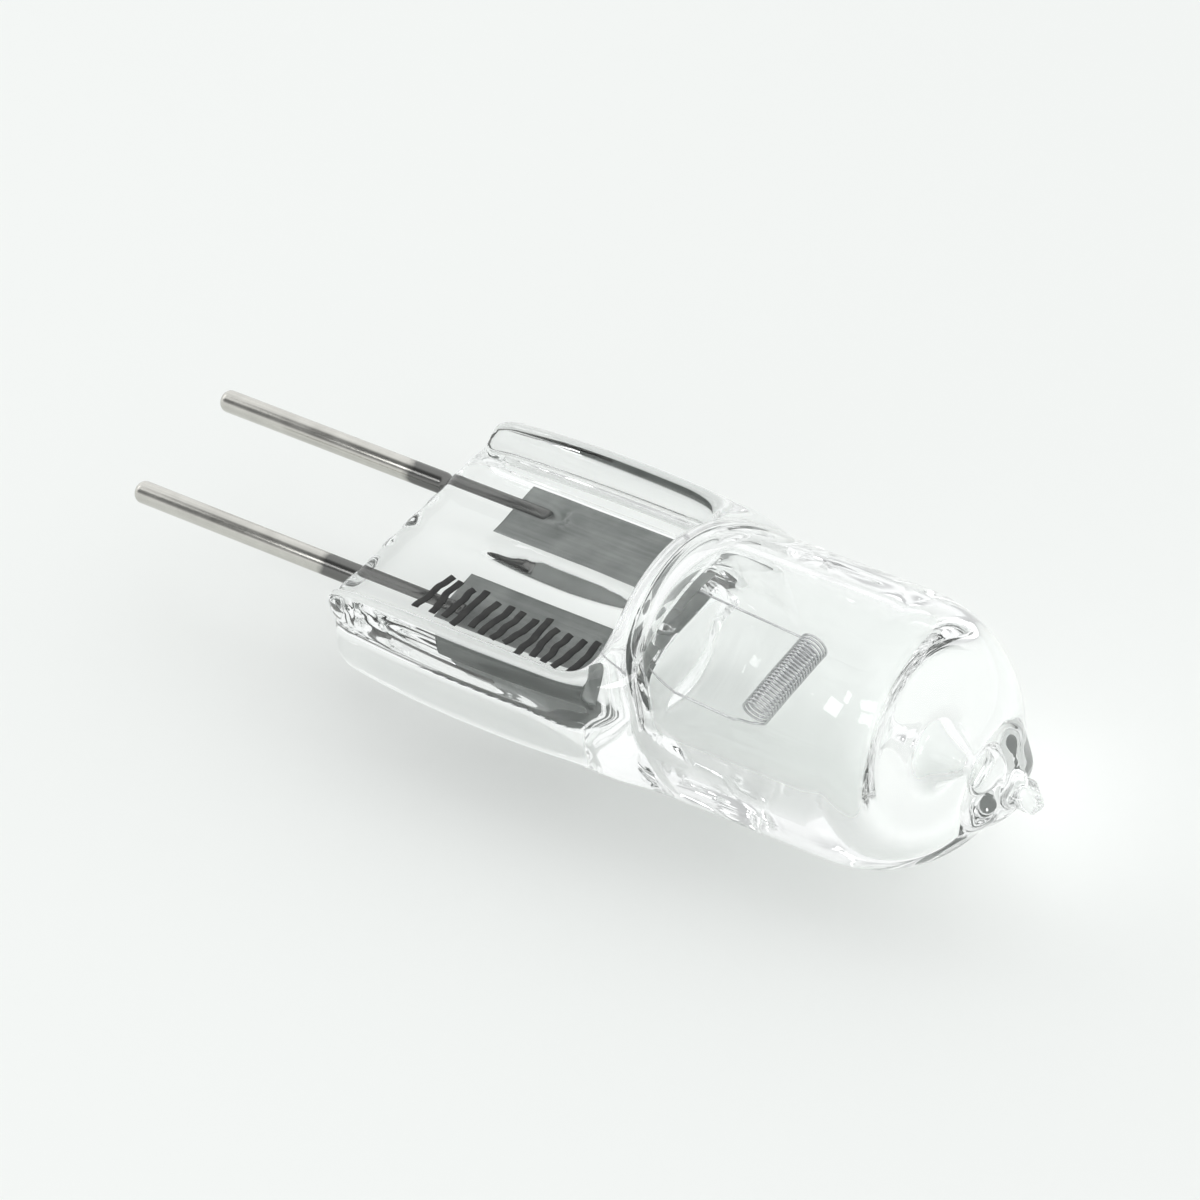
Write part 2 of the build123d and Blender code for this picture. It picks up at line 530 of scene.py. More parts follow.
def fade_in(distance: Array, length: float) -> Array:
    """Share that grows from 0 to 1 over a length."""
    return np.clip(distance / length, 0, 1)


def bell(distance: Array, width: float) -> Array:
    """Bell curve, 1 at no distance."""
    return np.exp(-((distance / width) ** 2))


def ease(share: float) -> float:
    """Share from 0 to 1, slow at both ends."""
    return share * share * (3 - 2 * share)


@dataclass(frozen=True)
class SurfaceNet:
    """Turns a field, negative inside, into a smooth closed mesh."""

    low: tuple
    high: tuple
    step: float
    settle_rounds: int = 4
    probe: float = 0.02

    def mesh(self, field: Callable) -> tuple:
        """Mesh the zero surface.

        Args:
            field: The field, as a function of three arrays.

        Returns:
            Points, faces and outward normals.
        """
        axes = [np.arange(a, b + self.step, self.step) for a, b in zip(self.low, self.high)]
        value = field(*np.meshgrid(*axes, indexing="ij", sparse=True)).astype(np.float32)
        inside = value < 0
        shape = tuple(n - 1 for n in value.shape)
        count = np.zeros(shape, np.int8)
        for corner in np.ndindex(2, 2, 2):
            count += inside[tuple(slice(o, o + n) for o, n in zip(corner, shape))]
        cells = np.argwhere((count > 0) & (count < 8))
        number = np.full(shape, -1, np.int64)
        number[tuple(cells.T)] = np.arange(len(cells))
        faces = np.concatenate([self.quads(inside, number, axis) for axis in range(3)])
        points = np.array(self.low) + self.step * (cells + self.crossings(value, cells))
        for _ in range(self.settle_rounds):
            slope, here = self.slope(field, points)
            points = points - slope * (here / np.maximum((slope**2).sum(1), 1e-6))[:, None]
        slope, _ = self.slope(field, points)
        return points, faces, slope / np.linalg.norm(slope, axis=1)[:, None]

    @staticmethod
    def crossings(value: Array, cells: Array) -> Array:
        """Mean place in each cell, from 0 to 1, at which its edges cross the surface."""
        total = np.zeros((len(cells), 3))
        hits = np.zeros(len(cells))
        for corner in np.ndindex(2, 2, 2):
            for axis in range(3):
                if corner[axis]:
                    continue
                other = tuple(o + (n == axis) for n, o in enumerate(corner))
                a = value[tuple((cells + corner).T)]
                b = value[tuple((cells + other).T)]
                crossed = (a < 0) != (b < 0)
                share = np.where(crossed, a / np.where(crossed, a - b, 1), 0)
                place = np.repeat(np.array([corner], float), len(cells), 0)
                place[:, axis] += share
                total += place * crossed[:, None]
                hits += crossed
        return total / hits[:, None]

    @staticmethod
    def quads(inside: Array, number: Array, axis: int) -> Array:
        """Faces over the grid edges that run along one axis and cross the surface.

        Args:
            inside: Whether each grid point is inside.
            number: Each cell's point number.
            axis: The axis.

        Returns:
            Point numbers of shape (n, 4), wound so that the faces look outwards.
        """
        first, second = [n for n in range(3) if n != axis]
        here, there = [slice(None)] * 3, [slice(None)] * 3
        here[axis], there[axis] = slice(0, -1), slice(1, None)
        change = inside[tuple(here)] != inside[tuple(there)]
        edges = np.argwhere(change)
        leaving = inside[tuple(here)][change]
        keep = np.all((edges[:, [first, second]] > 0), axis=1)
        edges, leaving = edges[keep], leaving[keep]
        ring = []
        for da, db in ((-1, -1), (0, -1), (0, 0), (-1, 0)):
            cell = edges.copy()
            cell[:, first] += da
            cell[:, second] += db
            ring.append(number[tuple(cell.T)])
        ring = np.stack(ring, axis=1)
        if axis == 1:
            leaving = ~leaving
        return np.where(leaving[:, None], ring, ring[:, ::-1])

    def slope(self, field: Callable, points: Array) -> tuple:
        """Slope and value of the field at some points."""
        rows = []
        for axis in range(3):
            shift = np.zeros(3)
            shift[axis] = self.probe
            ahead, behind = field(*(points + shift).T), field(*(points - shift).T)
            rows.append((ahead - behind) / (2 * self.probe))
        return np.stack(rows, axis=1), field(*points.T)


# Sub-assemblies


@dataclass(frozen=True)
class ExhaustChip:
    """Broken stub of the exhaust tube on the nub, with the two slanted faces it broke along."""

    start_x: float = 29.6
    length: float = 2.6
    end_x: float = 32.15
    buried_x: float = 29.0
    root_radius: float = 0.8
    taper: float = 0.26
    middle_y: float = -0.2
    middle_z: float = -0.35
    lean: float = 0.25
    coarse_ripple: float = 0.07
    fine_ripple: float = 0.05
    break_x: float = 31.95
    break_wave: float = 0.08
    side_break_x: float = 31.9

    def field(self, x: Array, y: Array, z: Array) -> Array:
        """The stub as a field, negative inside."""
        along = (x - self.start_x) / self.length
        y_off, z_off = y - self.middle_y, z - self.middle_z
        radius = np.sqrt((y_off + self.lean * along) ** 2 + (z_off + self.lean * along) ** 2)
        angle = np.arctan2(z_off, y_off)
        jagged = self.coarse_ripple * np.sin(3 * angle + 2.4 * x)
        jagged = jagged + self.fine_ripple * np.sin(5 * angle - 3.1 * x)
        stub = radius - (self.root_radius - self.taper * along) - jagged * fade_in(along, 0.5)
        broken = (x - self.break_x) * 0.79 - z_off * 0.61 + self.break_wave * np.sin(7 * y + 2)
        side_broken = (x - self.side_break_x) * 0.72 + (y + 0.35) * 0.66 + (z + 0.6) * 0.2
        for cut in (broken, side_broken, x - self.end_x, self.buried_x - x):
            stub = np.maximum(stub, cut)
        return stub


@dataclass(frozen=True)
class BlownBulb:
    """Outer form of the blown bulb, with the nub of the sealed exhaust tube."""

    radius: float = 5.95
    shoulder_x: float = 13.1
    shoulder_round: float = 2.3
    dome_x: float = 23.85
    nub_radius: float = 2.0
    nub_end_x: float = 30.4
    nub_drop: float = 0.45
    nub_round: float = 1.5
    nub_blend: float = 0.85
    nub_lumps: float = 0.05
    chip: ExhaustChip = ExhaustChip()
    chip_blend: float = 0.25

    def field(self, x: Array, y: Array, z: Array) -> Array:
        """The bulb as a field, negative inside."""
        ahead = np.maximum(x - self.dome_x, 0)
        body = np.sqrt(ahead**2 + y**2 + z**2) - self.radius
        body = smooth_max(body, self.shoulder_x - x, self.shoulder_round)
        lumps = np.sin(2.9 * y + 1.3 * z + 0.6) * np.cos(2.6 * z - 0.8 * y + 0.5)
        lumps = self.nub_lumps * lumps
        off_axis = np.sqrt(y**2 + (z + self.nub_drop) ** 2)
        side, end = off_axis - self.nub_radius - lumps, x - self.nub_end_x - lumps
        nub = smooth_max(side, end, self.nub_round)
        nub = np.maximum(nub, self.dome_x + 1 - x)
        body = smooth_min(body, nub, self.nub_blend)
        return smooth_min(body, self.chip.field(x, y, z), self.chip_blend)


@dataclass(frozen=True)
class PressSeal:
    """Flat pinch with a bead along each edge, a pocket on each face and a hollow at each pin."""

    offset: float = 0.6
    sag: float = 0.2
    half_width: float = 6.6
    widest_x: float = 7.9
    narrowing: float = 0.6
    narrowing_length: float = 8.3
    half_thickness: float = 2.8
    bead_round: float = 1.35
    groove_depth: float = 0.3
    groove_width: float = 0.85
    groove_end_x: float = 13.0
    groove_fade: float = 2.5
    nose_x: float = -0.2
    nose_slant: float = 0.066
    nose_corner: float = 1.7
    nose_bubbles: float = 0.13
    root_x: float = 16.3
    root_corner: float = 2.4
    web_half_thickness: float = 1.05
    ridge_height: float = 0.2
    ridge_width: float = 0.8
    ridge_start_x: float = 0.6
    ridge_end_x: float = 14.0
    pocket_half_width: float = 5.3
    pocket_end_x: float = 13.6
    pocket_draft: float = 0.12
    pocket_corner: float = 2.6
    pocket_floor_round: float = 0.9
    pocket_rim_round: float = 0.8
    pin_pitch: float = 6.35
    hollow_radius: float = 0.55
    hollow_floor_x: float = 0.15
    hollow_round: float = 0.35
    roof_slope: float = 0.365
    roof_width: float = 0.98
    roof_x: float = 7.7
    roof_half_length: float = 4.7
    roof_y: float = 0.8
    # Dents over the two welds: x, y, depth and spread of each
    welds: tuple = ((6.2, 2.9, 0.3, 0.13), (12.1, -2.6, 0.2, 0.06))

    def field(self, x: Array, y: Array, z: Array) -> Array:
        """The pinch as a field, negative inside."""
        from_foils = z - self.offset
        rise = self.rise_over_web(x, y, from_foils)
        lean = self.pocket_draft * rise
        across = np.abs(y) - self.pocket_half_width - lean
        walls = smooth_max(across, x - self.pocket_end_x - lean, self.pocket_corner)
        pocket = smooth_max(walls, -rise, self.pocket_floor_round)
        slab = smooth_max(self.slab(x, y, from_foils), -pocket, self.pocket_rim_round)
        for pin in (-1, 1):
            reach = np.sqrt((y - pin * self.pin_pitch / 2) ** 2 + from_foils**2)
            hollow = reach - self.hollow_radius + (x - self.hollow_floor_x)
            hollow = np.maximum(hollow, x - self.hollow_floor_x)
            slab = smooth_max(slab, -hollow, self.hollow_round)
        return slab

    def slab(self, x: Array, y: Array, from_foils: Array) -> Array:
        """The pressed block before its pockets, with grooved edges and a bubbly nose."""
        from_middle = from_foils + self.sag
        narrower = ((x - self.widest_x) / self.narrowing_length) ** 2
        groove = bell(from_middle, self.groove_width)
        groove = groove * fade_in(self.groove_end_x - x, self.groove_fade)
        half_width = self.half_width - self.narrowing * narrower - self.groove_depth * groove
        z = from_foils + self.offset
        bubbly = np.sin(2.1 * y + 0.7) * np.cos(1.3 * z + 0.4 * y)
        bubbly = bubbly + 0.6 * np.sin(4.3 * y - 1.6 * z)
        nose = self.nose_x + self.nose_slant * y - x + self.nose_bubbles * bubbly
        plan = smooth_max(np.abs(y) - half_width, nose, self.nose_corner)
        plan = smooth_max(plan, x - self.root_x, self.root_corner)
        return smooth_max(plan, np.abs(from_middle) - self.half_thickness, self.bead_round)

    def rise_over_web(self, x: Array, y: Array, from_foils: Array) -> Array:
        """Height over the web's two faces, with what stands on them and is dented into them."""
        from_nose = x - self.nose_x - self.nose_slant * y
        into_nose = np.clip(1 - from_nose / self.web_half_thickness, 0, 0.97)
        rise = np.abs(from_foils) - self.web_half_thickness * np.sqrt(1 - into_nose**2)
        ridge = fade_in(x - self.ridge_start_x, 2.5) * fade_in(self.ridge_end_x - x, 5.0)
        ridge = self.ridge_height * ridge * bell(y, self.ridge_width)
        dents = sum(
            depth * np.exp(-((x - weld_x) ** 2 + (y - weld_y) ** 2) / spread)
            for weld_x, weld_y, depth, spread in self.welds
        )
        return rise - np.where(from_foils < 0, self.roof(x, y), ridge - dents)

    def roof(self, x: Array, y: Array) -> Array:
        """Almond-shaped ridge under the web, with one broad flank that mirrors the far foil."""
        reach = ((x - self.roof_x) / self.roof_half_length) ** 2
        width = self.roof_width * np.clip(1 - reach, 0, 1) ** 0.8
        near_foot, far_foot = self.roof_y - width / 2, self.roof_y + width * 1.4
        flanks = smooth_min(y - near_foot, (far_foot - y) / 0.9, 0.3)
        flanks = smooth_max(flanks, np.zeros_like(flanks), 0.2)
        return self.roof_slope * flanks * fade_in(width, 0.4)


@dataclass(frozen=True)
class GasSpace:
    """Space inside the bulb, with the closed channel of the exhaust tube."""

    bore: float = 4.5
    rise: float = 0.65
    back_x: float = 13.9
    back_round: float = 2.3
    end_x: float = 25.8
    end_round: float = 1.6
    channel_drop: float = 0.225
    mouth_radius: float = 1.35
    channel_radius: float = 0.6
    channel_end_x: float = 29.0
    channel_end_round: float = 0.5
    taper_length: float = 1.5
    # Wide and narrow place of the channel: distance before its end, height and width
    bubble: tuple = (0.7, 0.3, 0.45)
    neck: tuple = (1.7, 0.22, 0.4)

    def field(self, x: Array, y: Array, z: Array) -> Array:
        """The space as a field, negative in the gas."""
        radius = np.sqrt(y**2 + (z - self.rise) ** 2)
        drum = smooth_max(radius - self.bore, self.back_x - x, self.back_round)
        drum = smooth_max(drum, x - self.end_x, self.end_round)
        taper = fade_in(x - self.end_x + 0.5, self.taper_length)
        opening = self.mouth_radius + (self.channel_radius - self.mouth_radius) * taper
        for sign, (before_end, height, width) in ((1, self.bubble), (-1, self.neck)):
            opening = opening + sign * height * bell(x - self.channel_end_x + before_end, width)
        off_axis = np.sqrt(y**2 + (z + self.channel_drop) ** 2)
        channel = smooth_max(off_axis - opening, x - self.channel_end_x, self.channel_end_round)
        channel = np.maximum(channel, self.end_x - 1 - x)
        return smooth_min(drum, channel, 0.5)


@dataclass
class QuartzEnvelope:
    """Blown bulb, sealed exhaust tube and press seal, in one piece of quartz."""

    axes: LampAxes
    bulb: BlownBulb = BlownBulb()
    seal: PressSeal = PressSeal()
    gas: GasSpace = GasSpace()
    seal_blend: float = 1.1
    net: SurfaceNet = SurfaceNet((-1.6, -7.2, -6.6), (33.2, 7.2, 6.6), 0.19)

    def glass(self, x: Array, y: Array, z: Array) -> Array:
        """The whole envelope as one field."""
        outer = smooth_min(self.bulb.field(x, y, z), self.seal.field(x, y, z), self.seal_blend)
        return np.maximum(outer, -self.gas.field(x, y, z))

    def build(self, finish: ClearQuartz) -> Object:
        """Mesh the envelope and stand it in for its solid.

        Args:
            finish: The quartz.

        Returns:
            The piece.
        """
        points, faces, normals = self.net.mesh(self.glass)
        row_points = self.axes.to_row(points)
        piece = make_object("quartz_envelope_glass", row_points, faces, finish.material())
        row_normals = (self.axes.to_row(normals) - self.axes.to_row(np.zeros((1, 3)))) / MM
        if len(piece.data.vertices) == len(row_normals):
            piece.data.normals_split_custom_set_from_vertices(row_normals.tolist())
        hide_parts("quartz_envelope")
        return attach(piece, "root")


@dataclass
class ContactPin:
    """Round pin, necked down at the glass to the lead that meets the foil."""

    axes: LampAxes
    side: int
    node: str
    pitch: float = 6.35
    height: float = 0.6
    radius: float = 0.5
    reach: float = 12.1
    tip_round: float = 0.35
    tip_steps: int = 8
    neck_start_x: float = -0.25
    neck_end_x: float = 0.2
    neck_steps: int = 4
    lead_radius: float = 0.31
    lead_end_x: float = 5.2
    sides: int = 72

    def outline(self) -> list:
        """Places along the pin and radii, from the middle of its tip to the lead's end."""
        outline = [(-self.reach, 0.0)]
        for step in range(self.tip_steps + 1):
            angle = math.radians(90 * step / self.tip_steps)
            outline.append((
                -self.reach + self.tip_round * (1 - math.cos(angle)),
                self.radius - self.tip_round + self.tip_round * math.sin(angle),
            ))
        for step in range(self.neck_steps + 1):
            share = step / self.neck_steps
            outline.append((
                self.neck_start_x + (self.neck_end_x - self.neck_start_x) * share,
                self.radius + (self.lead_radius - self.radius) * ease(share),
            ))
        return outline + [(self.lead_end_x, self.lead_radius), (self.lead_end_x, 0.0)]

    def build(self, material: Material) -> Object:
        """Turn the pin and stand it in for its solid.

        Args:
            material: The pin's finish.

        Returns:
            The piece.
        """
        outline = self.outline()
        points, faces = [], []
        for x, r in outline:
            for turn in range(self.sides if r else 1):
                angle = 2 * math.pi * turn / self.sides
                points.append((x, r * math.cos(angle), r * math.sin(angle)))
        rings = len(outline) - 2
        last = 1 + (rings - 1) * self.sides
        for turn in range(self.sides):
            after = (turn + 1) % self.sides
            faces.append((1 + after, 1 + turn, 0))
            for a in range(1, last, self.sides):
                b = a + self.sides
                faces.append((a + after, b + after, b + turn, a + turn))
            faces.append((last + after, len(points) - 1, last + turn))
        moved = np.array(points) + (0.0, self.side * self.pitch / 2, self.height)
        piece = make_object(self.node + "_turned", self.axes.to_row(moved), faces, material)
        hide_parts(self.node)
        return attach(piece, "root")


@dataclass
class SealFoil:
    """Strip of foil in the press seal, slightly crumpled, thin at its long edges."""

    axes: LampAxes
    side: int
    node: str
    start_x: float
    outer_y: float
    length: float = 8.8
    inner_y: float = 1.2
    height: float = 0.6
    thickness: float = 0.07
    edge_thinning: float = 0.75
    waves: int = 5
    wave_height: float = 0.006
    cells_along: int = 96
    cells_across: int = 36

    def crumple(self, u: Array, v: Array) -> Array:
        """Small waves over the strip, in millimetres."""
        rng = np.random.default_rng(7 + self.side)
        wave = np.zeros_like(u)
        for _ in range(self.waves):
            a, b, c = rng.uniform(2, 9), rng.uniform(1, 4), rng.uniform(0, 6.3)
            wave += self.wave_height * np.sin(a * u * 3 + b * v * 2 + c)
        return wave

    def build(self, material: Material) -> Object:
        """Lay the strip and stand it in for its solid.

        Args:
            material: The foil's finish.

        Returns:
            The piece.
        """
        along, across = self.cells_along, self.cells_across
        lengthways, sideways = np.linspace(0, 1, along + 1), np.linspace(-1, 1, across + 1)
        u, v = np.meshgrid(lengthways, sideways, indexing="ij")
        half_width = (self.outer_y - self.inner_y) / 2
        half = self.thickness / 2 * (1 - self.edge_thinning * np.abs(v) ** 3)
        x = self.start_x + self.length * u
        y = self.side * (self.inner_y + half_width) + v * half_width
        z = self.height + self.crumple(u, v)
        sheets = [np.stack([x, y, z + sign * half], axis=-1).reshape(-1, 3) for sign in (1, -1)]
        row, below = across + 1, (along + 1) * (across + 1)
        faces = []
        for i in range(along):
            for j in range(across):
                a, b = i * row + j, (i + 1) * row + j
                faces.append((a, b, b + 1, a + 1))
                faces.append((a + 1 + below, b + 1 + below, b + below, a + below))
        rim = [i * row for i in range(along + 1)]
        rim += [along * row + j for j in range(1, row)]
        rim += [i * row + across for i in range(along - 1, -1, -1)]
        rim += list(range(across - 1, 0, -1))
        for here, there in zip(rim, rim[1:] + rim[:1]):
            faces.append((there, here, here + below, there + below))
        points = self.axes.to_row(np.concatenate(sheets))
        piece = make_object(self.node + "_strip", points, faces, material)
        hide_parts(self.node)
        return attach(piece, "root")


@dataclass
class Filament:
    """Tungsten wire: a leg from each foil and the coil between them."""

    axes: LampAxes
    wire_radius: float = 0.055
    wire_sides: int = 10
    coil_radius: float = 0.62
    coil_length: float = 4.7
    turns: int = 24
    steps_per_turn: int = 28
    coil_x: float = 19.15
    coil_y: float = 0.2
    coil_z: float = 0.05
    leg_spread: float = 2.7
    leg_start_x: float = 11.9
    leg_points: int = 16
    knee_before_coil: float = 1.1
    knee_drop: float = 0.1
    knee_points: int = 8
    pinch_offset: float = 0.6

    def leg(self, side: int) -> Array:
        """Points of one leg on the lamp's axes, from its foil to its end of the coil."""
        end_y = self.coil_y + side * self.coil_length / 2
        joint = np.array([self.coil_x, end_y, self.coil_z - self.coil_radius])
        foot = np.array([self.leg_start_x, side * self.leg_spread, self.pinch_offset])
        knee_x = self.coil_x - self.coil_radius * self.knee_before_coil
        knee = np.array([knee_x, side * self.leg_spread, self.coil_z - self.knee_drop])
        points = [foot + (knee - foot) * share for share in np.linspace(0, 1, self.leg_points)]
        for share in np.linspace(0.15, 1.0, self.knee_points):
            points.append(knee + (joint - knee) * np.array([share, share, ease(share)]))
        return np.array(points)

    def legs(self) -> bpy.types.Mesh:
        """Both legs as one mesh of edges."""
        rows = [self.leg(side) for side in (-1, 1)]
        size = len(rows[0])
        edges = [(n, n + 1) for n in range(2 * size - 1) if n != size - 1]
        mesh = bpy.data.meshes.new("filament_legs")
        mesh.from_pydata(self.axes.to_row(np.concatenate(rows)).tolist(), edges, [])
        return mesh

    def build(self, material: Material) -> Object:
        """Wind the coil, join the legs and run round wire along them.

        Args:
            material: The wire's finish.

        Returns:
            The piece, in place of its solid.
        """
        middle = self.axes.to_row(np.array([[self.coil_x, self.coil_y, self.coil_z]]))[0]
        columns = Matrix(((0, -1, 0), (0, 0, 1), (-1, 0, 0)))
        graph = GeometryTree.new("wound_wire", {
            "Turns": float(self.turns),
            "Steps Per Turn": self.steps_per_turn,
            "Coil Radius": self.coil_radius * MM,
            "Coil Length": self.coil_length * MM,
            "Coil Middle": tuple(middle),
            "Coil Facing": tuple((self.axes.turn() @ columns).to_euler()),
            "Wire Radius": self.wire_radius * MM,
        })
        length, radius = graph.input("Coil Length"), graph.input("Coil Radius")
        coil = graph.node("GeometryNodeCurveSpiral", values={
            "Resolution": graph.input("Steps Per Turn"),
            "Rotations": graph.input("Turns"),
            "Start Radius": radius,
            "End Radius": radius,
            "Height": length,
        })
        coil = graph.move(coil, graph.vector(0.0, 0.0, length * -0.5))
        coil = graph.move(coil, graph.input("Coil Middle"), graph.input("Coil Facing"))
        legs = graph.node("GeometryNodeMeshToCurve", values={"Mesh": graph.input("Geometry")})
        route = graph.node("GeometryNodeJoinGeometry", values={"Geometry": [coil, legs]})
        wire = graph.rod(route, graph.input("Wire Radius"), self.wire_sides)
        piece = graph.bake("tungsten_filament_wire", wire, self.legs(), material)
        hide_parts("tungsten_filament")
        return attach(piece, "root")


@dataclass
class InkMarks:
    """Row of slanting ink bars over the near foil, uneven like brush strokes."""

    axes: LampAxes
    start: tuple = (3.9, -3.25, 1.66)
    end: tuple = (11.75, -3.75, 1.66)
    count: int = 13
    bar_length: float = 2.3
    bar_width: float = 0.36
    bar_points: int = 22
    bar_sides: int = 12
    thickness: float = 0.04
    lean: float = 0.42
    sway: float = 1.6
    sway_waves: float = 900.0
    rough_waves: float = 2600.0
    end_sharpness: float = 10.0
    seed: int = 5

    def bars(self, graph: GeometryTree) -> Wire:
        """Straight strokes along the row as curves, each with its own tilt and length."""
        row = graph.node("GeometryNodeMeshLine", values={
            "Count": graph.input("Count"),
            "Start Location": graph.input("Row Start"),
            "Offset": graph.input("Row Step"),
        })
        half = graph.input("Bar Length") * 0.5
        stroke = graph.node("GeometryNodeCurvePrimitiveLine", values={
            "Start": graph.vector(0.0, half * -1.0, 0.0), "End": graph.vector(0.0, half, 0.0),
        })
        values = {"Curve": stroke, "Count": self.bar_points}
        stroke = graph.node("GeometryNodeResampleCurve", values=values)
        seed, lean = graph.input("Seed"), graph.input("Lean")
        tilt = graph.random(lean * -0.75, lean * -0.1, seed)
        stretch = graph.random(0.72, 1.1, seed + 1.0)
        bars = graph.node("GeometryNodeInstanceOnPoints", values={
            "Points": row,
            "Instance": stroke,
            "Rotation": graph.vector(0.0, 0.0, tilt),
            "Scale": graph.vector(1.0, stretch, 1.0),
        })
        return graph.node("GeometryNodeRealizeInstances", values={"Geometry": bars})

    def build(self, material: Material) -> Object:
        """Lay the bars on the pocket's floor as thin raised ink.

        Args:
            material: The ink.

        Returns:
            The piece.
        """
        start = Vector(self.start) * MM
        step = (Vector(self.end) * MM - start) / (self.count - 1)
        graph = GeometryTree.new("ink_bars", {
            "Count": self.count,
            "Row Start": tuple(start),
            "Row Step": tuple(step),
            "Bar Length": self.bar_length * MM,
            "Bar Width": self.bar_width * MM,
            "Ink Height": self.thickness * MM,
            "Lean": self.lean,
            "Seed": self.seed,
            "Origin": tuple(self.axes.origin()),
            "Facing": tuple(self.axes.turn().to_euler()),
        })
        width = graph.input("Bar Width")
        wander = graph.noise(self.sway_waves, 1.0)
        sway = graph.vector((wander - 0.5) * (width * self.sway), 0.0, 0.0)
        values = {"Geometry": self.bars(graph), "Offset": sway}
        bars = graph.node("GeometryNodeSetPosition", values=values)
        along = graph.node("GeometryNodeSplineParameter", output="Factor")
        ends = 1.0 - ((along - 0.5) * 2.0) ** self.end_sharpness
        swell = (ends + 0.02) ** 0.5 * (graph.noise(self.rough_waves, 2.0) * 0.7 + 0.6)
        bars = graph.node("GeometryNodeSetCurveRadius", values={"Curve": bars, "Radius": swell})
        bars = graph.rod(bars, width * 0.5, self.bar_sides)
        x, y, z = graph.parts(graph.node("GeometryNodeInputPosition"))
        floor = Vector(self.start).z * MM
        flattening = graph.input("Ink Height") / width * 2.0
        flat = graph.vector(x, y, (z - floor) * flattening + floor)
        bars = graph.node("GeometryNodeSetPosition", values={"Geometry": bars, "Position": flat})
        bars = graph.move(bars, graph.input("Origin"), graph.input("Facing"))
        piece = graph.bake("ink_marks", bars, None, material)
        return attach(piece, "root")


# Studio


@dataclass(frozen=True)
class Viewpoint:
    """Camera at the photograph's angle, in the photograph's framing."""

    azimuth: float = 34.41
    elevation: float = 34.5
    distance: float = 270.78
    aim_x: float = 15.0
    aim_right: float = -4.206
    aim_up: float = 2.307
    lens: float = 195.0
    sensor: float = 36.0

    def place(self, axes: LampAxes) -> None:
        """Make the camera."""
        a, e = math.radians(self.azimuth), math.radians(self.elevation)
        back = Vector((math.sin(a) * math.cos(e), -math.cos(a) * math.cos(e), math.sin(e)))
        right = Vector((math.cos(a), math.sin(a), 0))
        up = back.cross(right)
        middle = Vector(axes.to_row(np.array([[self.aim_x, 0, 0]]))[0])
        target = middle + (right * self.aim_right + up * self.aim_up) * MM
        data = bpy.data.cameras.new("camera")
        data.lens = self.lens
        data.sensor_width = self.sensor
        data.clip_start, data.clip_end = 0.01, 10
        camera = bpy.data.objects.new("camera", data)
        camera.rotation_mode = "QUATERNION"
        camera.location = target + back * self.distance * MM
        camera.rotation_quaternion = (-back).to_track_quat("-Z", "Y")
        bpy.context.scene.collection.objects.link(camera)
        bpy.context.scene.camera = camera


@dataclass(frozen=True)
class Softbox:
    """Rectangular studio light that points at the lamp."""

    name: str
    direction: tuple
    distance: float
    width: float
    height: float
    power: float

    def place(self) -> None:
        """Make the light."""
        data = bpy.data.lights.new(self.name, "AREA")
        data.shape = "RECTANGLE"
        data.size, data.size_y = self.width, self.height
        data.energy = self.power
        light = bpy.data.objects.new(self.name, data)
        towards = Vector(self.direction).normalized()
        light.location = towards * self.distance
        light.rotation_mode = "QUATERNION"
        light.rotation_quaternion = towards.to_track_quat("Z", "Y")
        bpy.context.scene.collection.objects.link(light)


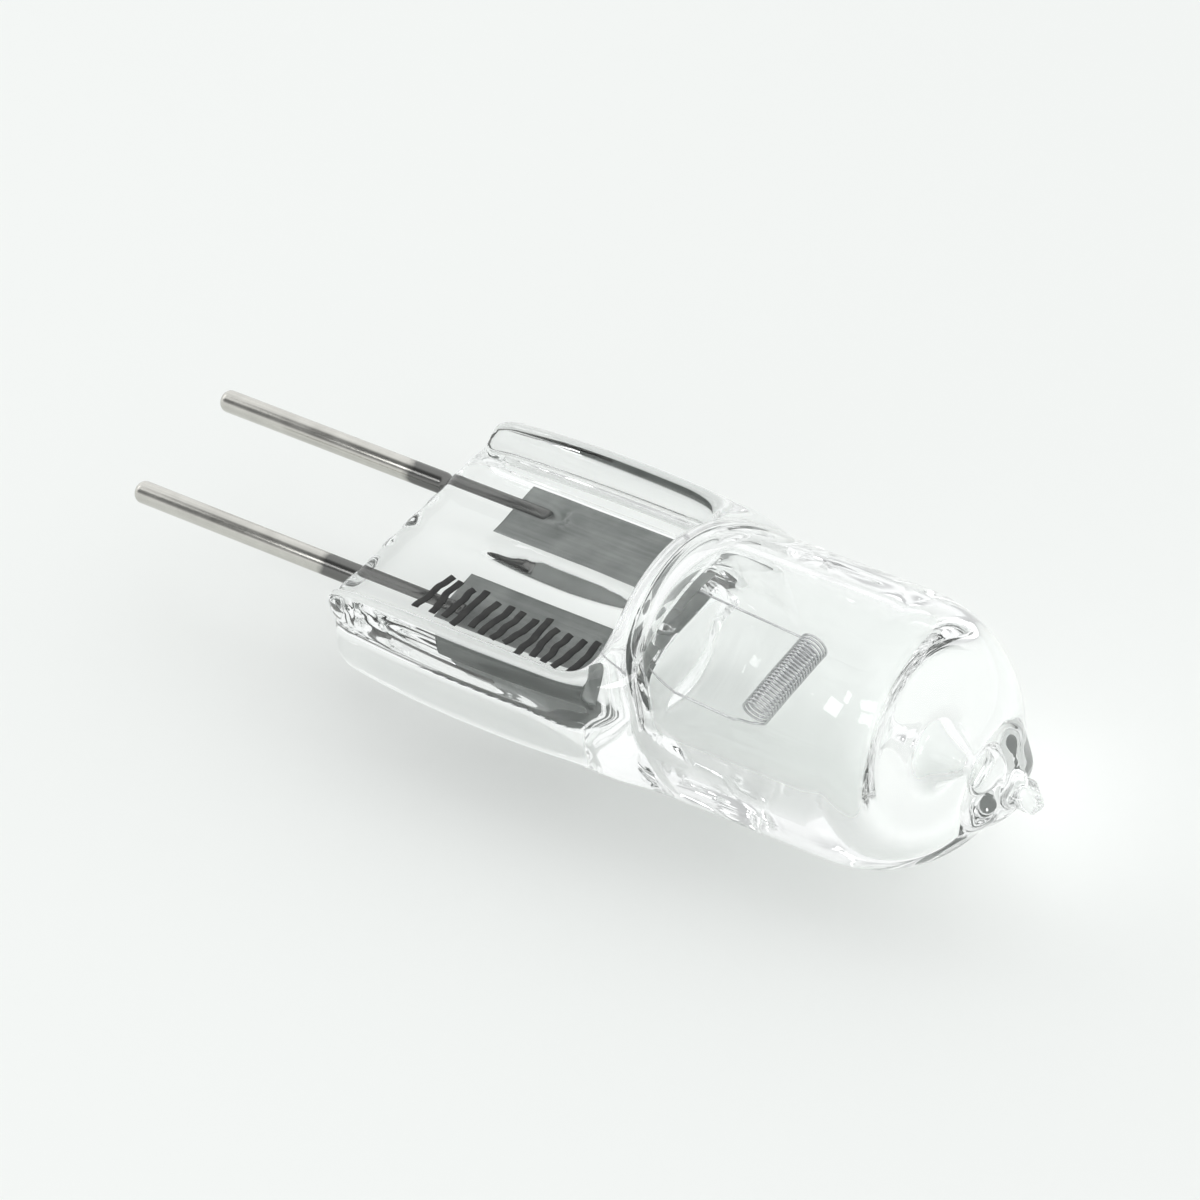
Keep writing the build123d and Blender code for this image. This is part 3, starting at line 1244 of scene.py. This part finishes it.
@dataclass(frozen=True)
class Studio:
    """Pale floor, pale walls with one dark side, and soft light."""

    floor_colour: tuple = (0.885, 0.90, 0.885, 1.0)
    floor_grain: tuple = (300.0, 300.0, 300.0)
    floor_half: float = 3.0
    dark_side: tuple = (-0.42, -0.58, 0.70)
    walls: tuple = (
        (0.0, (1.14, 1.15, 1.15)),
        (0.76, (1.10, 1.11, 1.11)),
        (0.89, (0.20, 0.205, 0.205)),
        (1.0, (0.10, 0.105, 0.105)),
    )
    walls_through: tuple = (
        (0.0, (1.02, 1.03, 1.03)),
        (0.70, (0.98, 0.99, 0.99)),
        (0.86, (0.62, 0.625, 0.63)),
        (1.0, (0.52, 0.525, 0.53)),
    )
    boxes: tuple = (
        Softbox("key_softbox", (-0.80, -0.25, 0.62), 0.9, 0.5, 0.5, 0.9),
        Softbox("window", (-0.24, -0.74, 0.63), 0.6, 0.14, 0.12, 0.3),
    )

    def build(self) -> None:
        """Make the floor, the world and the lights."""
        shader = Shader.new("studio_floor")
        material = shader.finish(shader.node("ShaderNodeBsdfPrincipled", values={
            "Base Color": self.floor_colour,
            "Roughness": shader.noise(self.floor_grain) * 0.1 + 0.85,
            "Specular IOR Level": 0.0,
        }))
        half = self.floor_half
        corners = [(-half, -half, 0), (half, -half, 0), (half, half, 0), (-half, half, 0)]
        corners = np.array(corners)
        make_object("studio_floor", corners, [(0, 1, 2, 3)], material, smooth=False)
        bpy.context.scene.world = self.room()
        for box in self.boxes:
            box.place()

    def room(self) -> bpy.types.World:
        """Make the room, whose dark side is paler for rays that have passed through glass."""
        world = bpy.data.worlds.new("studio_room")
        world.use_nodes = True
        graph = Graph(world.node_tree)
        values = {0: graph.node("ShaderNodeTexCoord", output="Generated"), 1: self.dark_side}
        settings = {"operation": "DOT_PRODUCT"}
        towards_dark = graph.node("ShaderNodeVectorMath", settings, values, "Value")
        mirrored = graph.ramp(towards_dark, self.walls)
        through = graph.ramp(towards_dark, self.walls_through)
        share = graph.node("ShaderNodeLightPath", output="Is Transmission Ray")
        colour = graph.mix(share, mirrored, through)
        background = world.node_tree.nodes["Background"]
        world.node_tree.links.new(colour.socket, background.inputs["Color"])
        return world


def main() -> None:
    """Build the lamp and the studio round it."""
    logging.basicConfig(level=logging.INFO, format="%(message)s")
    axes = LampAxes.from_frame(pin_reach=12.1, pin_height=0.6)
    # Painted shade: the pins are painted darker from here to the glass, standing in for the
    # shaded floor reflected there.
    reflected_shade_x = axes.to_row([[-2.2, 0, 0]])[0, 0]
    pin_colours = (0.50, 0.49, 0.46), (0.68, 0.67, 0.63)
    pin_metal = DrawnWire("drawn_pin_metal", *pin_colours, reflected_shade_from=reflected_shade_x).material()
    wire_colours = (0.50, 0.50, 0.51), (0.70, 0.70, 0.71)
    filament_metal = DrawnWire("tungsten_wire", *wire_colours).material()
    foil = RolledFoil().material()
    pieces = [
        QuartzEnvelope(axes).build(ClearQuartz()),
        ContactPin(axes, -1, "near_contact_pin").build(pin_metal),
        ContactPin(axes, 1, "far_contact_pin").build(pin_metal),
        SealFoil(axes, -1, "near_seal_foil", start_x=4.3, outer_y=4.05).build(foil),
        SealFoil(axes, 1, "far_seal_foil", start_x=3.7, outer_y=4.4).build(foil),
        Filament(axes).build(filament_metal),
        InkMarks(axes).build(BakedInk().material()),
    ]
    for piece in pieces:
        LOG.info("%s: %d faces", piece.name, len(piece.data.polygons))
    Studio().build()
    Viewpoint().place(axes)
    scene = bpy.context.scene
    scene.view_settings.view_transform = "Standard"
    scene.cycles.max_bounces = 64
    scene.cycles.transmission_bounces = 64
    scene.cycles.glossy_bounces = 64
    scene.cycles.transparent_max_bounces = 32


if __name__ == "__main__":
    main()
